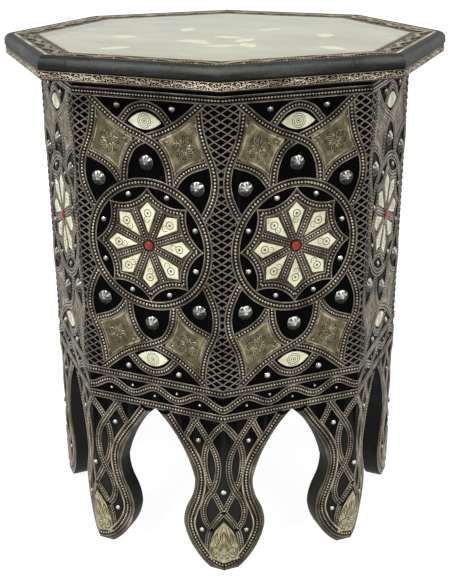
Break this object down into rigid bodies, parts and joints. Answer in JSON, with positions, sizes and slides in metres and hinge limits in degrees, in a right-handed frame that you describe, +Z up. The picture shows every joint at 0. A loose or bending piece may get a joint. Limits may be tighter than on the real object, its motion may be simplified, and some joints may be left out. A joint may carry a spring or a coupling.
{
  "type": "side table",
  "caption": "Octagonal side table with ogee arches between its feet, pierced metal strapwork, bone inlay and a loose glass top pane.",
  "frame": {"origin": "on the floor, under the middle of the table", "axes": "+Z up; flats of the octagon face +X, -X, +Y and -Y; face 1 looks along -Y"},
  "size_m": [0.4346, 0.4346, 0.54],
  "materials": {
    "black_wood": "black paint, satin",
    "border_sheet": "wood core under embossed white metal sheet",
    "brass_band": "wood core under embossed brass sheet",
    "strapwork": "oxidised white metal, beads rubbed bright",
    "inlay_field": "pale painted panel with bone inlay",
    "clear_glass": "clear",
    "bone": "polished bone with engraved rings",
    "red_stone": "polished red glass stone",
    "stud_metal": "white metal, rubbed bright",
    "palmette_brass": "embossed brass, dull"
  },
  "bodies": {
    "table": {"side_panel_1": "black_wood", "side_panel_2": "black_wood", "side_panel_3": "black_wood", "side_panel_4": "black_wood", "side_panel_5": "black_wood", "side_panel_6": "black_wood", "side_panel_7": "black_wood", "side_panel_8": "black_wood", "corner_block_1": "black_wood", "corner_block_2": "black_wood", "corner_block_3": "black_wood", "corner_block_4": "black_wood", "corner_block_5": "black_wood", "corner_block_6": "black_wood", "corner_block_7": "black_wood", "corner_block_8": "black_wood", "edge_moulding_1": "black_wood", "edge_moulding_2": "black_wood", "edge_moulding_3": "black_wood", "edge_moulding_4": "black_wood", "edge_moulding_5": "black_wood", "edge_moulding_6": "black_wood", "edge_moulding_7": "black_wood", "edge_moulding_8": "black_wood", "top_board": "black_wood", "top_border_1": "border_sheet", "top_border_2": "border_sheet", "top_border_3": "border_sheet", "top_border_4": "border_sheet", "top_border_5": "border_sheet", "top_border_6": "border_sheet", "top_border_7": "border_sheet", "top_border_8": "border_sheet", "apron_band_1": "brass_band", "apron_band_2": "brass_band", "apron_band_3": "brass_band", "apron_band_4": "brass_band", "apron_band_5": "brass_band", "apron_band_6": "brass_band", "apron_band_7": "brass_band", "apron_band_8": "brass_band", "filigree_1": "strapwork", "filigree_2": "strapwork", "filigree_3": "strapwork", "filigree_4": "strapwork", "filigree_5": "strapwork", "filigree_6": "strapwork", "filigree_7": "strapwork", "filigree_8": "strapwork", "inlay_panel": "inlay_field", "bone_petals": "bone", "bone_eyes": "bone", "red_stones": "red_stone", "dome_studs": "stud_metal", "wing_rosettes": "stud_metal", "petal_rosettes": "stud_metal", "foot_plates": "palmette_brass"},
    "glass": {"glass_panel": "clear_glass"}
  },
  "joints": [
    {"name": "glass_lift", "type": "slide", "parent": "table", "child": "glass", "axis": [0, 0, 1], "range_m": [0, 0.06]}
  ]
}
